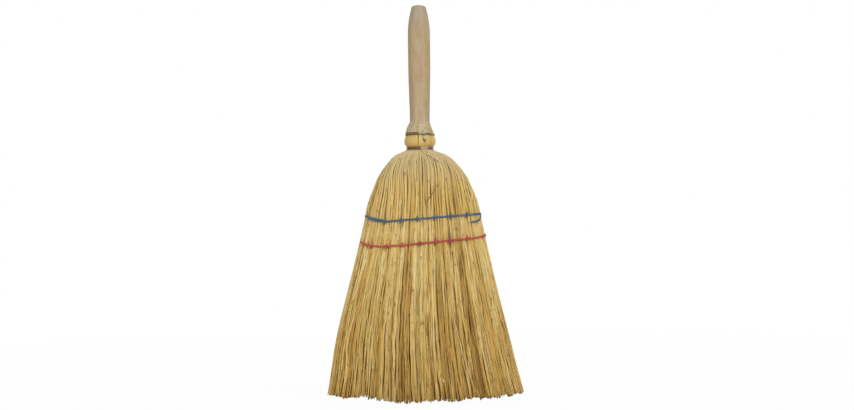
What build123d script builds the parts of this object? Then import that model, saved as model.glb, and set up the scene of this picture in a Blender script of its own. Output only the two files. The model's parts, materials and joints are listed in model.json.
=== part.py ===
"""Hand broom: a turned wooden handle, bunches of broom straw wired round its peg, and two rows of twine that sew the
straw flat.

Millimetres. +Z runs up the handle, X runs across the broom's flat face, and the front face looks towards -Y.
The origin is the middle of the base, at the height of the lowest straw tips. The straw leans a little to the right,
so the handle's axis stands to the left of the origin. Everything is built on that axis and moved over at the end.

The straw is laid out on a grid. "across" runs from -1 at the left edge to 1 at the right edge, and "depth" runs from
0 at the middle of the broom to 1 at its face. Every straw keeps its own cell of that grid from the neck to its tip,
so no two straws cross.
"""

import os
from math import asin, atan2, cos, degrees, hypot, pi, radians, sin, sqrt, tan

from build123d import *

# --- Lengths along the broom ---
neck_foot = 259.0  # height of the foot of the neck above the lowest straw tips
lower_wire_rise = 3.3  # foot of the neck to the lower wire's middle
wire_spacing = 14.2  # lower wire to upper wire
skirt_length = 12.3  # upper wire to the top of the shaved stalk ends
grip_length = 121.2  # visible part of the handle

# --- Handle ---
grip_radius = 11.4  # thickest part, a true cylinder
grip_straight_length = 18.0
grip_straight_below_top = 31.0  # end of the handle to the top of the cylinder
handle_root_radius = 10.1  # where the handle leaves the straw
handle_waist_radius = 10.6
handle_waist_rise = 24.0
handle_flare_radius = 11.2
handle_flare_rise = 47.0
end_radius = 7.0  # rim of the rounded end
end_crown = 1.9
peg_radius = 8.2
peg_shoulder_length = 6.8  # taper from the handle's root down to the peg
peg_point_above_foot = -10.0  # where the peg starts to taper, from the neck's foot
peg_depth = 50.0  # foot of the neck down to the peg's tip
peg_tip_radius = 2.4
peg_clearance = 0.1

# --- Neck: stalks packed round the peg ---
bulge_radius = 16.2
bulge_below_upper_wire = 7.6
stalk_top_radius = 10.5  # the shaved stalks, where they end on the handle
skirt_radius = 14.6  # just above the upper wire
upper_groove_radius = 14.2
lower_groove_radius = 13.1
neck_foot_radius = 14.0
ring_radius = 10.9  # between the inner bunches and the cover bunches
seam = 0.2  # between neighbouring bunches
groove_slope = 0.3  # height over which a groove's edge slopes
skirt_edge = 0.15  # flat rim inside the top of the cover bunches

# --- Binding wires and their nail ---
wire_diameter = 1.1
wire_pitch = 1.6
wire_clearance = 0.08
wire_cross_angle = 26.0  # how far round the neck a wire takes to step from one turn to the next
upper_cross_turn = -26.0  # degrees to the right of the front where the upper wire starts to step
lower_cross_turn = 3.0
tail_leaves = 12.0  # degrees before that step at which the upper wire's end runs down to the nail
tail_steps = [(16.0, 1.1), (34.0, 2.6)]  # degrees after it leaves, and how far it is below the turns there
tail_climb = -0.3
nail_angle = 17.9  # degrees to the right of the front
nail_below_upper_wire = 3.4
nail_shank_diameter = 1.6
nail_head_diameter = 4.3
nail_head_thickness = 0.9
nail_length = 13.0  # under the head
nail_clearance = 0.05

# --- Straw ---
bunches_across = 8
straws_per_bunch = 5  # side by side in one bunch
layers_per_bunch = 2  # one behind another in one bunch
straw_root = 1.7  # how far each straw reaches up into its bunch's head
root_fill = 0.5  # share of its cell that a straw fills there
slim_above = 5.0  # straws keep that share down to this drop
straw_fill = 0.76
fill_variation = 0.07  # share by which a straw's width and depth vary
straw_lean = 0.2  # share of a cell's free width by which a straw stands off its middle
tip_fill = 0.62
peg_room = 0.4  # between the peg and the straw round it
middle_gap = 0.6  # between the front half and the back half
edge_power = 2.6  # how square the broom's flat section is
edge_cut = 0.99  # its thin edge is blunt
flat_from = 50.0  # below this drop the round neck has become the flat head
layer_shift = 0.5  # share of half a cell by which neighbouring layers are staggered
row_reach = 10.0  # the straw closes again this far above the upper row and below the lower one
foot_offset = 4.2  # how far the middle of the base lies to the right of the handle's axis
foot_half_width = 103.8
foot_half_thickness = 26.0
tip_rise = 9.3  # the outer tips end this much above the middle ones
tip_tilt = 1.7  # and the right-hand ones this much more
tip_scatter = 2.4
foot_cut = 0.5  # the lowest tips are trimmed flat by this much

# --- Sewing ---
twine_diameter = 1.7
twine_clearance = 0.35
crossing_gap = 0.6  # where the twine passes over itself
pass_rise = 2.7  # how far above or below the band the twine passes through the straw
sewn_gap = 2.8  # the straw parts this far for the twine
stitch_bend = 2.2
edge_turns = (-68, -40, -14, 14, 40, 68)  # directions that the band faces as it rounds an edge
start_across = -0.93  # where the twine starts, and where it doubles back below itself
double_drop = 3.3
tail_drop = 2.8  # how far below the row the twine's end runs as it rounds the right edge
blue_tail_drop = 8.0  # and where it ends
blue_tail_across = 0.80
red_tail_across = 0.90
hook_starts = (0.6, 0.8)  # how far across a row turns up at the left and at the right
straightest = 400.0  # bends gentler than this radius stay at it

# Each row: drop of its middle below the neck's foot, slope, how sharply it turns up at the left and right edges,
# first stitch, stitch pitch and number of stitches.
BLUE = (68.65, 4.4, 54.0, 0.0, -0.67, 0.284, 6)
RED = (93.8, 5.7, 42.0, 60.0, -0.824, 0.252, 7)

# --- Heights worked out from the lengths ---
lower_wire_height = neck_foot + lower_wire_rise
upper_wire_height = lower_wire_height + wire_spacing
handle_root = upper_wire_height + skirt_length
handle_top = handle_root + grip_length
nail_height = upper_wire_height - nail_below_upper_wire
groove_half_height = (wire_pitch + wire_diameter) / 2 + 0.15
skirt_foot = upper_wire_height + groove_half_height
wire_radius = wire_diameter / 2
twine_radius = twine_diameter / 2
over = twine_diameter + crossing_gap  # centre to centre where the twine passes over itself

columns = bunches_across * straws_per_bunch
layers = 2 * layers_per_bunch

# The outline of the straw: drop below the neck's foot, half width, sideways offset, half thickness.
OUTLINE = [
    (-straw_root, 13.1, 0.0, 13.1),
    (0.0, 13.4, 0.0, 13.4),
    (4.2, 25.4, 0.6, 15.0),
    (10.0, 32.6, 2.1, 16.2),
    (20.0, 41.2, 2.4, 17.3),
    (34.0, 49.4, 2.3, 17.6),
    (flat_from, 55.0, 2.4, 16.6),
    (BLUE[0] - row_reach, 57.3, 2.4, 15.6),
    (BLUE[0], 59.3, 2.4, 14.6),
    ((BLUE[0] + RED[0]) / 2, 62.0, 2.2, 15.0),
    (RED[0], 64.7, 2.0, 14.6),
    (RED[0] + row_reach, 67.2, 1.9, 15.4),
    (RED[0] + 2 * row_reach, 69.6, 1.6, 16.2),
    (140.0, 75.9, 1.1, 18.2),
    (198.0, 89.4, 1.4, 22.2),
    (neck_foot, foot_half_width, foot_offset, foot_half_thickness),
]


def sign(value):
    return 1 if value >= 0 else -1


def scatter(*seeds):
    """An even, repeatable spread of values between -1 and 1."""
    golden = 0.6180339887
    value = sum((k + 1) * golden * seed + 0.37 * seed * seed for k, seed in enumerate(seeds))
    return 2 * (value % 1) - 1


def row_height(row, across):
    """Height of a sewn row: it climbs to the right and turns up at the edges."""
    drop, slope, left_hook, right_hook = row[:4]
    left = left_hook * max(0.0, -across - hook_starts[0]) ** 2
    right = right_hook * max(0.0, across - hook_starts[1]) ** 2
    return neck_foot - drop + slope * across + left + right


def stitch_places(row):
    """Stitches sit between two columns of straw, at the nearest such place."""
    first, pitch, count = row[4:]
    wanted = [first + pitch * k for k in range(count)]
    return [round((place + 1) / 2 * columns) / columns * 2 - 1 for place in wanted]


def peg_surface(height):
    """Radius of the peg, and 0 below its tip."""
    point_start = neck_foot + peg_point_above_foot
    tip = neck_foot - peg_depth
    if height >= point_start:
        return peg_radius
    if height < tip:
        return 0.0
    return peg_tip_radius + (peg_radius - peg_tip_radius) * (height - tip) / (point_start - tip)


def flatness(drop):
    """0 where the straw leaves the round neck, 1 where the head is flat."""
    share = min(1.0, max(0.0, drop / flat_from))
    return share * share * (3 - 2 * share)


def edge_share(across):
    """Thickness of the flat head at a place across it, as a share of its middle thickness."""
    return (1 - (edge_cut * min(1.0, abs(across))) ** edge_power) ** (1 / edge_power)


def pushed_aside(across, centre, places, half_width):
    """Where a straw with that centre stands once the twine has parted the straw at each stitch."""
    push = sewn_gap / 2 / half_width
    left = max([p for p in places if p <= centre], default=None)
    right = min([p for p in places if p > centre], default=None)
    if left is None:
        return -1 + (across + 1) * (1 - push / (right + 1))
    if right is None:
        return 1 - (1 - across) * (1 - push / (1 - left))
    middle = (left + right) / 2
    return middle + (across - middle) * (1 - push / ((right - left) / 2))


def straw_point(station, across, depth, side, height, places, centre):
    """A point of the grid at a station of the outline. side is -1 for the front half and 1 for the back half."""
    drop, half_width, offset, half_thickness = station
    if places:
        across = pushed_aside(across, centre, places, half_width)
    flat = flatness(drop)
    turn = pi * (1 - across) / 2
    core = peg_surface(height)
    core = core + peg_room if core else middle_gap / 2
    ring = core + depth * (half_width - core)
    x = offset * (flat + (1 - flat) * depth) + (1 - flat) * ring * cos(turn) + flat * half_width * across
    inner = max(core * sin(turn), middle_gap / 2)
    outer = half_thickness * ((1 - flat) * sin(turn) + flat * edge_share(across))
    return Vector(x, side * (inner + depth * max(outer - inner, 0.2)), height)


def tip_height(column, layer, side, across):
    """Height of a straw's tip: the base is a shallow arc, a little ragged, with the lowest tips trimmed flat."""
    arc = tip_rise * across * across + tip_tilt * across - foot_cut
    ragged = tip_scatter * max(0.0, scatter(column, layer, side)) * min(1.0, 3 * abs(across))
    return max(0.0, arc + ragged)


def straw(column, layer, side):
    """One straw: four long edges drawn through a slice of its cell at each station, with a ruled face between
    each two, and flat ends."""
    half_cell = 1 / columns
    centre = -1 + (2 * column + 1) * half_cell
    slices = []
    for number, station in enumerate(OUTLINE):
        drop = station[0]
        height = neck_foot - drop
        places = []
        for row in (BLUE, RED):
            if drop == row[0]:
                height, places = row_height(row, centre), stitch_places(row)
        if BLUE[0] < drop < RED[0]:
            height = (row_height(BLUE, centre) + row_height(RED, centre)) / 2
        middle = centre
        if not places:
            middle += layer_shift * half_cell * (-1) ** layer * flatness(drop) * (1 - centre * centre)
        fill = straw_fill
        if drop == neck_foot:
            height, fill = tip_height(column, layer, side, centre), tip_fill
        vary = fill_variation
        if drop <= slim_above:
            fill, vary = root_fill, 0.0
        wide = fill * (1 + vary * scatter(column, layer, side, number))
        deep = fill * (1 + vary * scatter(number, column, side, layer))
        lean = (1 - wide) * straw_lean * scatter(column, number, layer, side)
        corners = []
        for a, d in [(-1, -1), (1, -1), (1, 1), (-1, 1)]:
            across = middle + half_cell * (lean + wide * a)
            depth = (layer + 0.5 + 0.5 * deep * d) / layers
            corners.append(straw_point(station, across, depth, side, height, places, centre))
        slices.append(corners)
    middles = [(corners[0] + corners[2]) / 2 for corners in slices]
    reached = [0.0]
    for here, there in zip(middles, middles[1:]):
        reached.append(reached[-1] + (there - here).length)
    rails = [Edge.make_spline([corners[k] for corners in slices], parameters=reached) for k in range(4)]
    sides = [Face.make_surface_from_curves(rails[k], rails[(k + 1) % 4]) for k in range(4)]
    ends = [Face(Wire.make_polygon(corners, close=True)) for corners in (slices[0], slices[-1])]
    return Solid(Shell(sides + ends))


# --- Handle ---
def make_handle():
    """The turned handle with its peg, as one revolved outline."""
    top_of_straight = handle_top - grip_straight_below_top
    foot_of_straight = top_of_straight - grip_straight_length
    rim = handle_top - end_crown
    swell = Edge.make_spline(
        [
            (handle_root_radius, 0, handle_root),
            (handle_waist_radius, 0, handle_root + handle_waist_rise),
            (handle_flare_radius, 0, handle_root + handle_flare_rise),
            (grip_radius, 0, foot_of_straight),
        ],
        tangents=[(0.01, 0, 1), (0, 0, 1)],
    )
    straight = Edge.make_line((grip_radius, 0, foot_of_straight), (grip_radius, 0, top_of_straight))
    taper = Edge.make_tangent_arc((grip_radius, 0, top_of_straight), (0, 0, 1), (end_radius, 0, rim))
    end_bulge = (end_radius**2 + end_crown**2) / (2 * end_crown)  # radius of the rounded end
    half_way = asin(end_radius / end_bulge) / 2
    crown_middle = (end_bulge * sin(half_way), 0, handle_top - end_bulge * (1 - cos(half_way)))
    crown = Edge.make_three_point_arc((end_radius, 0, rim), crown_middle, (0, 0, handle_top))
    peg = Wire.make_polygon(
        [
            (0, 0, handle_top),
            (0, 0, neck_foot - peg_depth),
            (peg_tip_radius, 0, neck_foot - peg_depth),
            (peg_radius, 0, neck_foot + peg_point_above_foot),
            (peg_radius, 0, handle_root - peg_shoulder_length),
            (handle_root_radius, 0, handle_root),
        ],
        close=False,
    )
    outline = Face(Wire([swell, straight, taper, crown, *peg.edges()]))
    return revolve(outline, Axis.Z) - nail_hole()


# --- Neck ---
def bulge_ends():
    """Radius and height of the bulge's upper and lower ends, at the wires."""
    upper = upper_wire_height - groove_half_height
    lower = lower_wire_height + groove_half_height
    return (upper_groove_radius + 0.3, upper), (lower_groove_radius + 0.5, lower)


def bulge_circle():
    """Centre radius, centre height and radius of the arc through the bulge's two ends and its widest point."""
    (r1, z1), (r2, z2) = bulge_ends()
    r3, z3 = bulge_radius, upper_wire_height - bulge_below_upper_wire
    d = 2 * (r1 * (z2 - z3) + r2 * (z3 - z1) + r3 * (z1 - z2))
    s1, s2, s3 = r1**2 + z1**2, r2**2 + z2**2, r3**2 + z3**2
    centre_radius = (s1 * (z2 - z3) + s2 * (z3 - z1) + s3 * (z1 - z2)) / d
    centre_height = (s1 * (r3 - r2) + s2 * (r1 - r3) + s3 * (r2 - r1)) / d
    return centre_radius, centre_height, hypot(r1 - centre_radius, z1 - centre_height)


def neck_radius_at(height):
    """Radius of the bulge at a height between the wires."""
    centre_radius, centre_height, arc_radius = bulge_circle()
    return centre_radius + sqrt(arc_radius**2 - (height - centre_height) ** 2)


def skirt_height(radius):
    """Height at which the shaved skirt has narrowed to a radius."""
    share = (skirt_radius - radius) / (skirt_radius - stalk_top_radius)
    return skirt_foot + (handle_root - skirt_foot) * share


def cover_profile():
    """Section of the cover bunches' heads: foot, wire groove, bulge, wire groove and shaved skirt."""
    (r1, z1), (r2, z2) = bulge_ends()
    inner = ring_radius + seam / 2
    lines = Wire.make_polygon(
        [
            (r2, 0, z2),
            (lower_groove_radius, 0, z2 - groove_slope),
            (lower_groove_radius, 0, lower_wire_height - groove_half_height + groove_slope),
            (neck_foot_radius, 0, lower_wire_height - groove_half_height - groove_slope),
            (neck_foot_radius, 0, neck_foot),
            (inner, 0, neck_foot),
            (inner, 0, skirt_height(inner + skirt_edge)),
            (inner + skirt_edge, 0, skirt_height(inner + skirt_edge)),
            (skirt_radius, 0, skirt_foot),
            (upper_groove_radius, 0, skirt_foot - groove_slope),
            (upper_groove_radius, 0, z1 + groove_slope),
            (r1, 0, z1),
        ],
        close=False,
    )
    widest = (bulge_radius, 0, upper_wire_height - bulge_below_upper_wire)
    bulge = Edge.make_three_point_arc((r1, 0, z1), widest, (r2, 0, z2))
    return Face(Wire([*lines.edges(), bulge]))


def inner_profile():
    """Section of the inner bunches' heads, between the peg and the cover bunches."""
    outer = ring_radius - seam / 2
    corners = [
        (peg_radius + peg_clearance, 0, neck_foot),
        (outer, 0, neck_foot),
        (outer, 0, skirt_height(outer)),
        (stalk_top_radius, 0, handle_root),
        (handle_root_radius + peg_clearance, 0, handle_root),
        (peg_radius + peg_clearance, 0, handle_root - peg_shoulder_length),
    ]
    return Face(Wire.make_polygon(corners, close=True))


def make_bunch(profile, first_layer, number, side):
    """One bunch: the slice of the neck that the wires grip, with its straws fused to it."""
    slice_angle = 180 / bunches_across
    seam_angle = degrees(seam / ring_radius)
    start = 180 + slice_angle * number if side < 0 else 180 - slice_angle * (number + 1)
    head = Rotation(0, 0, start + seam_angle / 2) * revolve(profile, Axis.Z, slice_angle - seam_angle)
    straws = [
        straw(column, layer, side)
        for column in range(number * straws_per_bunch, (number + 1) * straws_per_bunch)
        for layer in range(first_layer, first_layer + layers_per_bunch)
    ]
    bunch = head.fuse(Compound(straws))
    turn = degrees(atan2(-cos(radians(nail_angle)), sin(radians(nail_angle)))) % 360
    return bunch - nail_hole() if start < turn < start + slice_angle else bunch


# --- Nail ---
def nail_frame(radius):
    """A plane at that distance from the broom's axis, facing outwards at the nail."""
    outwards = on_neck(1, nail_angle, 0)
    return Plane(origin=outwards * radius + Vector(0, 0, nail_height), z_dir=outwards)


def nail_seat():
    """Distance from the axis to the underside of the nail's head: the wire lies between it and the stalks."""
    return neck_radius_at(nail_height) + wire_diameter + 3 * wire_clearance


def nail_hole():
    length = nail_length + nail_clearance
    hole = Cylinder(nail_shank_diameter / 2 + nail_clearance, length, align=(Align.CENTER, Align.CENTER, Align.MIN))
    seam_turn = Rotation(0, 0, 45)  # keeps the hole's seam off the highest and lowest lines of its rim
    return nail_frame(nail_seat() - length) * seam_turn * hole


def make_nail():
    stand = (Align.CENTER, Align.CENTER, Align.MIN)
    shank_radius = nail_shank_diameter / 2
    point_length = nail_shank_diameter * 1.5
    point = Cone(shank_radius * 0.15, shank_radius, point_length, align=stand)
    shank = Pos(0, 0, point_length) * Cylinder(shank_radius, nail_length - point_length, align=stand)
    disc = Cylinder(nail_head_diameter / 2, nail_head_thickness, align=stand)
    disc = fillet(disc.edges().filter_by(GeomType.CIRCLE).sort_by(Axis.Z)[-1], nail_head_thickness * 0.4)
    return nail_frame(nail_seat() - nail_length) * (point + shank + Pos(0, 0, nail_length) * disc)


# --- Wires ---
def on_neck(radius, turn, height):
    """A point round the neck; turn is in degrees to the right of the front."""
    angle = radians(turn - 90)
    return Vector(radius * cos(angle), radius * sin(angle), height)


def biarc(start, start_way, end, end_way):
    """Two arcs that leave start along start_way, meet smoothly, and reach end along end_way."""
    gap = end - start
    along = gap.dot(start_way + end_way)
    spread = 2 * (1 - start_way.dot(end_way))
    reach = gap.dot(gap) / (along + sqrt(along * along + spread * gap.dot(gap)))
    joint = (start + end + (start_way - end_way) * reach) / 2
    first = Edge.make_tangent_arc(start, start_way, joint)
    return [first, Edge.make_tangent_arc(joint, first % 1, end)]


def round_way(turn, climb=0.0):
    """Direction of a wire that runs to the right round the neck, with a share of climb."""
    return (on_neck(1, turn + 90, 0) + Vector(0, 0, climb)).normalized()


def winding(radius, cross_turn, first_height, second_height, end_turn):
    """Two level turns and the step between them. It runs to the right, from the far side of the step."""
    begin = cross_turn + wire_cross_angle
    stops = [(begin + 90 * q, first_height) for q in range(4)] + [(cross_turn + 360, first_height)]
    stops += [(begin + 360 + 90 * q, second_height) for q in range(4)] + [(end_turn + 720, second_height)]
    edges = []
    for (turn, height), (next_turn, next_height) in zip(stops, stops[1:]):
        here, there = on_neck(radius, turn, height), on_neck(radius, next_turn, next_height)
        edges += biarc(here, round_way(turn), there, round_way(next_turn))
    return edges


def make_upper_wire():
    """Two turns under the skirt. The lower one runs on down over the bulge and hooks under the nail's shank."""
    radius = upper_groove_radius + wire_radius + wire_clearance
    high, low = upper_wire_height + wire_pitch / 2, upper_wire_height - wire_pitch / 2
    leave = upper_cross_turn - tail_leaves
    edges = winding(radius, upper_cross_turn, high, low, leave)
    hook = nail_shank_diameter / 2 + wire_radius + nail_clearance
    stops = [(leave, low, radius, 0.0)]
    for turn, drop in tail_steps:
        height = low - drop
        reach = neck_radius_at(height) + wire_radius + wire_clearance + 0.1
        stops.append((leave + turn, height, reach, tail_climb))
    under = nail_height - hook
    stops.append((nail_angle, under, neck_radius_at(under) + wire_radius + wire_clearance, 0.0))
    for (turn, height, r, climb), (next_turn, next_height, next_r, next_climb) in zip(stops, stops[1:]):
        here, there = on_neck(r, turn, height), on_neck(next_r, next_turn, next_height)
        edges += biarc(here, round_way(turn, climb), there, round_way(next_turn, next_climb))
    last = stops[-1][2]
    beside = on_neck(last, nail_angle + degrees(asin(hook / last)), nail_height)
    return edges + [Edge.make_tangent_arc(edges[-1] @ 1, edges[-1] % 1, beside)]


def make_lower_wire():
    """Two turns that press the straw in, with a step up from the first to the second at the front."""
    radius = lower_groove_radius + wire_radius + wire_clearance
    low, high = lower_wire_height - wire_pitch / 2, lower_wire_height + wire_pitch / 2
    return winding(radius, lower_cross_turn, low, high, lower_cross_turn)


# --- Sewing twine ---
def station_of(row):
    return next(station for station in OUTLINE if station[0] == row[0])


def row_point(row, across, side, lift=0.0, rise=0.0):
    """A point of the twine's middle line on the front (-1) or back (1), above the straw by lift."""
    _, half_width, offset, half_thickness = station_of(row)
    share = edge_share(across)
    away = Vector(
        sign(across) * (edge_cut * abs(across)) ** (edge_power - 1) / half_width,
        side * share ** (edge_power - 1) / half_thickness,
        0,
    ).normalized()
    foot = Vector(offset + half_width * across, side * half_thickness * share, row_height(row, across) + rise)
    return foot + away * (twine_radius + twine_clearance + lift)


def edge_points(row, hand, from_side, rises):
    """The band's corners as it rounds the right (1) or left (-1) edge, where lines that touch the straw meet."""
    _, half_width, offset, half_thickness = station_of(row)
    rim = [
        (hand * half_width * a / 200, side * half_thickness * edge_share(a / 200))
        for a in range(120, 201)
        for side in (-1, 1)
    ]
    lines = []
    for turn in edge_turns:
        x, y = hand * cos(radians(turn)), -from_side * sin(radians(turn))
        lines.append((x, y, max(x * a + y * b for a, b in rim) + twine_radius + twine_clearance))
    points = []
    for (x1, y1, d1), (x2, y2, d2), rise in zip(lines, lines[1:], rises):
        x = (d1 * y2 - d2 * y1) / (x1 * y2 - x2 * y1)
        y = (x1 * d2 - x2 * d1) / (x1 * y2 - x2 * y1)
        across = max(-1.0, min(1.0, x / half_width))
        points.append(Vector(offset + x, y, row_height(row, across) + rise))
    return points


def row_band(row, places):
    """The twine's first pass: along the front from the left, round the right edge, along the back, round the left
    edge, and along the front again below its own start, up to the first stitch."""
    left = [a for a in (start_across, -0.8) if a < places[0] - 0.06]
    right = [a for a in (0.84,) if a > places[-1] + 0.06]
    front = [row_point(row, across, -1) for across in left + places + right]
    back = [row_point(row, across, 1) for across in reversed(left[1:] + places + right)]
    down = [double_drop * share for share in (0.15, 0.5, 0.85, 1, 1)]
    doubled = [row_point(row, across, -1, rise=-double_drop) for across in left[1:]]
    return front + edge_points(row, 1, -1, [0] * 5) + back + edge_points(row, -1, 1, [-d for d in down]) + doubled


def row_stitches(row, places):
    """The twine's second pass: up over the band at each stitch on the front, through the straw, and slanting down
    over the band on the back to the next stitch."""
    points = []
    for place in places:
        if points:
            points.append(row_point(row, place, 1, over, -pass_rise))
        points.append(row_point(row, place, -1, over, -pass_rise))
        points.append(row_point(row, place, -1, over, pass_rise))
        points.append(row_point(row, place, 1, over, pass_rise))
    return points


def blue_route():
    """The blue twine ends in a tail that hooks round the right edge and slants down on the front."""
    places = stitch_places(BLUE)
    last = [row_point(BLUE, 0.84, 1, over, -tail_drop)]
    last += edge_points(BLUE, 1, 1, [-tail_drop - 0.5 * k for k in range(5)])
    last += [
        row_point(BLUE, (blue_tail_across + 0.94) / 2, -1, 0, -(tail_drop + blue_tail_drop) / 2 - 1),
        row_point(BLUE, blue_tail_across, -1, 0, -blue_tail_drop),
    ]
    return row_band(BLUE, places), row_stitches(BLUE, places), last


def red_route():
    """The red twine ends just round the right edge, crossing up over the band."""
    places = stitch_places(RED)
    last = [row_point(RED, 0.84, 1, over, -tail_drop)]
    last += edge_points(RED, 1, 1, [-tail_drop] * 5)
    last += [row_point(RED, red_tail_across, -1, over, rise) for rise in (-tail_drop, pass_rise)]
    return row_band(RED, places), row_stitches(RED, places), last


def rounded(band, stitches, last):
    """Straight runs joined by tangent arcs, each as large as its runs leave room for. The stitches turn tighter,
    so that they clear the straw's face."""
    points = band + stitches + last
    bounds = [straightest] * len(band) + [stitch_bend] * len(stitches) + [straightest] * len(last)
    radii = []
    for before, corner, after, bound in zip(points, points[1:], points[2:], bounds[1:]):
        turn = radians((corner - before).get_angle(after - corner))
        run = min((corner - before).length, (after - corner).length)
        radii.append(min(bound, 0.45 * run / tan(turn / 2)))
    return FilletPolyline(*points, radius=radii).edges(), radii


def tube(edges, diameter):
    path = Wire(edges)
    return sweep(Plane(origin=path @ 0, z_dir=path % 0) * Circle(diameter / 2), path=path)


def least_gap(edges, diameter, spacing=0.5):
    """Least clear distance of a tube to itself, measured on points along its middle line."""
    points = []
    for edge in edges:
        count = max(2, int(edge.length / spacing))
        points += [edge @ (k / count) for k in range(count)]
    along = [0.0]
    for here, there in zip(points, points[1:]):
        along.append(along[-1] + (there - here).length)
    apart = 1.6 * pi * diameter
    gaps = [
        (points[j] - points[i]).length
        for i in range(len(points))
        for j in range(i + 1, len(points))
        if along[j] - along[i] > apart
    ]
    return min(gaps) - diameter


def export(solid, name):
    export_step(Pos(-foot_offset, 0, 0) * solid, f"parts/{name}.step")


os.makedirs("parts", exist_ok=True)

for name, edges in [("upper_wire", make_upper_wire()), ("lower_wire", make_lower_wire())]:
    print(name, "gap to itself", round(least_gap(edges, wire_diameter), 2))
    export(tube(edges, wire_diameter), name)

for name, route in [("blue_stitching", blue_route()), ("red_stitching", red_route())]:
    edges, radii = rounded(*route)
    print(name, "radii", [round(r, 1) for r in radii])
    solid = tube(edges, twine_diameter)
    print(name, "gap to itself", round(least_gap(edges, twine_diameter), 2))
    whole = sum(edge.length for edge in edges) * pi * twine_radius**2
    print(name, "length", round(whole / pi / twine_radius**2), "volume against section by length", solid.volume / whole)
    export(solid, name)

export(make_handle(), "handle")
export(make_nail(), "binding_nail")

covers, inners = cover_profile(), inner_profile()
for half, side in [("front", -1), ("back", 1)]:
    for number in range(bunches_across):
        export(make_bunch(inners, 0, number, side), f"{half}_core_{number + 1}")
        export(make_bunch(covers, layers_per_bunch, number, side), f"{half}_cover_{number + 1}")
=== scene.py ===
import json
import math

import bmesh
import bpy
import numpy as np
from mathutils import Matrix, Vector

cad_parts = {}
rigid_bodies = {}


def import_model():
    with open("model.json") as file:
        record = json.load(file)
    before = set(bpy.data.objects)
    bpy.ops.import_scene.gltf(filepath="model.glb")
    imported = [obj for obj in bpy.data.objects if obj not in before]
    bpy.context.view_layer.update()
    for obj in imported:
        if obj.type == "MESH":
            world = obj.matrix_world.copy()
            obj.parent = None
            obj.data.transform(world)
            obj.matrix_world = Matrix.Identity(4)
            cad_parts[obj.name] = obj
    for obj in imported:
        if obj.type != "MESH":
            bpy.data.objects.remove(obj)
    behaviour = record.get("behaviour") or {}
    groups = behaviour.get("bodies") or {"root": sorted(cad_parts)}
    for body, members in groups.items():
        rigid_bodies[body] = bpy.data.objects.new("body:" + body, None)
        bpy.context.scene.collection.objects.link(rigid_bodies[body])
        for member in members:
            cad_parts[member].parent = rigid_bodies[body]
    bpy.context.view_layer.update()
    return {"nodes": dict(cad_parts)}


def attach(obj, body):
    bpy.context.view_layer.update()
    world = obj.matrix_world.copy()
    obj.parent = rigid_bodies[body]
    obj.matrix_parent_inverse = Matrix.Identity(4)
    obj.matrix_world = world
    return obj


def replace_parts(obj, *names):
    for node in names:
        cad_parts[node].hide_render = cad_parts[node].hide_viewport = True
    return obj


# The looks of a hand broom: broom straw wired round a turned wooden handle and sewn flat with two rows of twine.
# Lengths are in millimetres on the handle's axis, front towards -Y, until a mesh is made: in_frame then moves them
# over and into the frame's metres. The finishes work in the frame's metres. "across" runs from -1 at the left edge
# of the straw to 1 at the right edge, "depth" from 0 at the middle of the head to 1 at its face, and "drop" is the
# distance below the neck's foot. "side" is -1 for the front and 1 for the back.

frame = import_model()
chance = np.random.default_rng(20)

MM = 0.001
SAME_PLACE = 1e-7  # metres within which two points are one

# --- Sizes, as in the part ---
AXIS_SHIFT = -4.2
NECK_FOOT = 259.0
WIRE_RADIUS = 0.55
HANDLE_ROOT = 288.8
STALK_TOP_RADIUS = 10.5
SKIRT_RADIUS = 14.6
SKIRT_FOOT = 278.0
GROOVE_RADIUS = 14.2
NAIL_TURN = 17.9
NAIL_HEIGHT = 273.1
MIDDLE_GAP = 0.3
EDGE_POWER = 2.6
EDGE_CUT = 0.99
FLAT_FROM = 50.0
TWINE_RADIUS = 0.85
TWINE_CLEAR = 0.15
TWINE_OVER = 2.0
BUNCHES = 8

# Drop, half width, sideways offset and half thickness of the straw.
OUTLINE = np.array(
    [
        (-4.0, 12.9, 0.0, 12.6), (-2.0, 13.2, 0.0, 12.9), (0.0, 16.2, 0.2, 13.5),
        (1.6, 21.0, 0.4, 14.2), (4.2, 26.8, 0.7, 15.0), (10.0, 33.6, 1.5, 16.2),
        (20.0, 42.4, 1.8, 17.3), (34.0, 50.3, 2.1, 17.6), (50.0, 56.0, 2.3, 16.6),
        (58.65, 58.3, 2.3, 15.6), (68.65, 60.2, 2.3, 14.6), (81.2, 62.7, 2.1, 15.0),
        (93.8, 65.3, 1.9, 14.6), (103.8, 67.8, 1.8, 15.4), (140.0, 76.6, 1.0, 18.0),
        (170.0, 84.2, 0.8, 19.9), (198.0, 90.8, 1.0, 21.6), (230.0, 97.0, 2.4, 23.0),
        (259.0, 103.9, 3.9, 24.3),
    ]
)

# Place across the base, from the handle's axis, and height of the trimmed tips there.
BASE_LINE = np.array(
    [
        (-104, 11.5), (-93, 8.6), (-85, 7.2), (-72, 6.4),
        (-63, 6.4), (-53, 5.8), (-41, 3.2), (-28, 0.8),
        (-4, 0.3), (18, 2.0), (32, 1.2), (54, 4.4),
        (73, 4.6), (87, 6.6), (97, 8.2), (108, 10.6),
    ]
)

# Each sewn row: drop of its middle, slope, how sharply it turns up at the left and right edges, and its stitches.
BLUE_ROW = dict(drop=68.65, slope=4.4, left=40.0, right=0.0, stitches=(-0.65, -0.375, -0.1, 0.2, 0.475, 0.75))
RED_ROW = dict(drop=93.8, slope=5.7, left=42.0, right=60.0, stitches=(-0.825, -0.575, -0.325, -0.05, 0.2, 0.425, 0.7))


def in_frame(points):
    """Millimetres on the handle's axis to metres in the frame."""
    return (np.asarray(points, float) + (AXIS_SHIFT, 0, 0)) * MM


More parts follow.
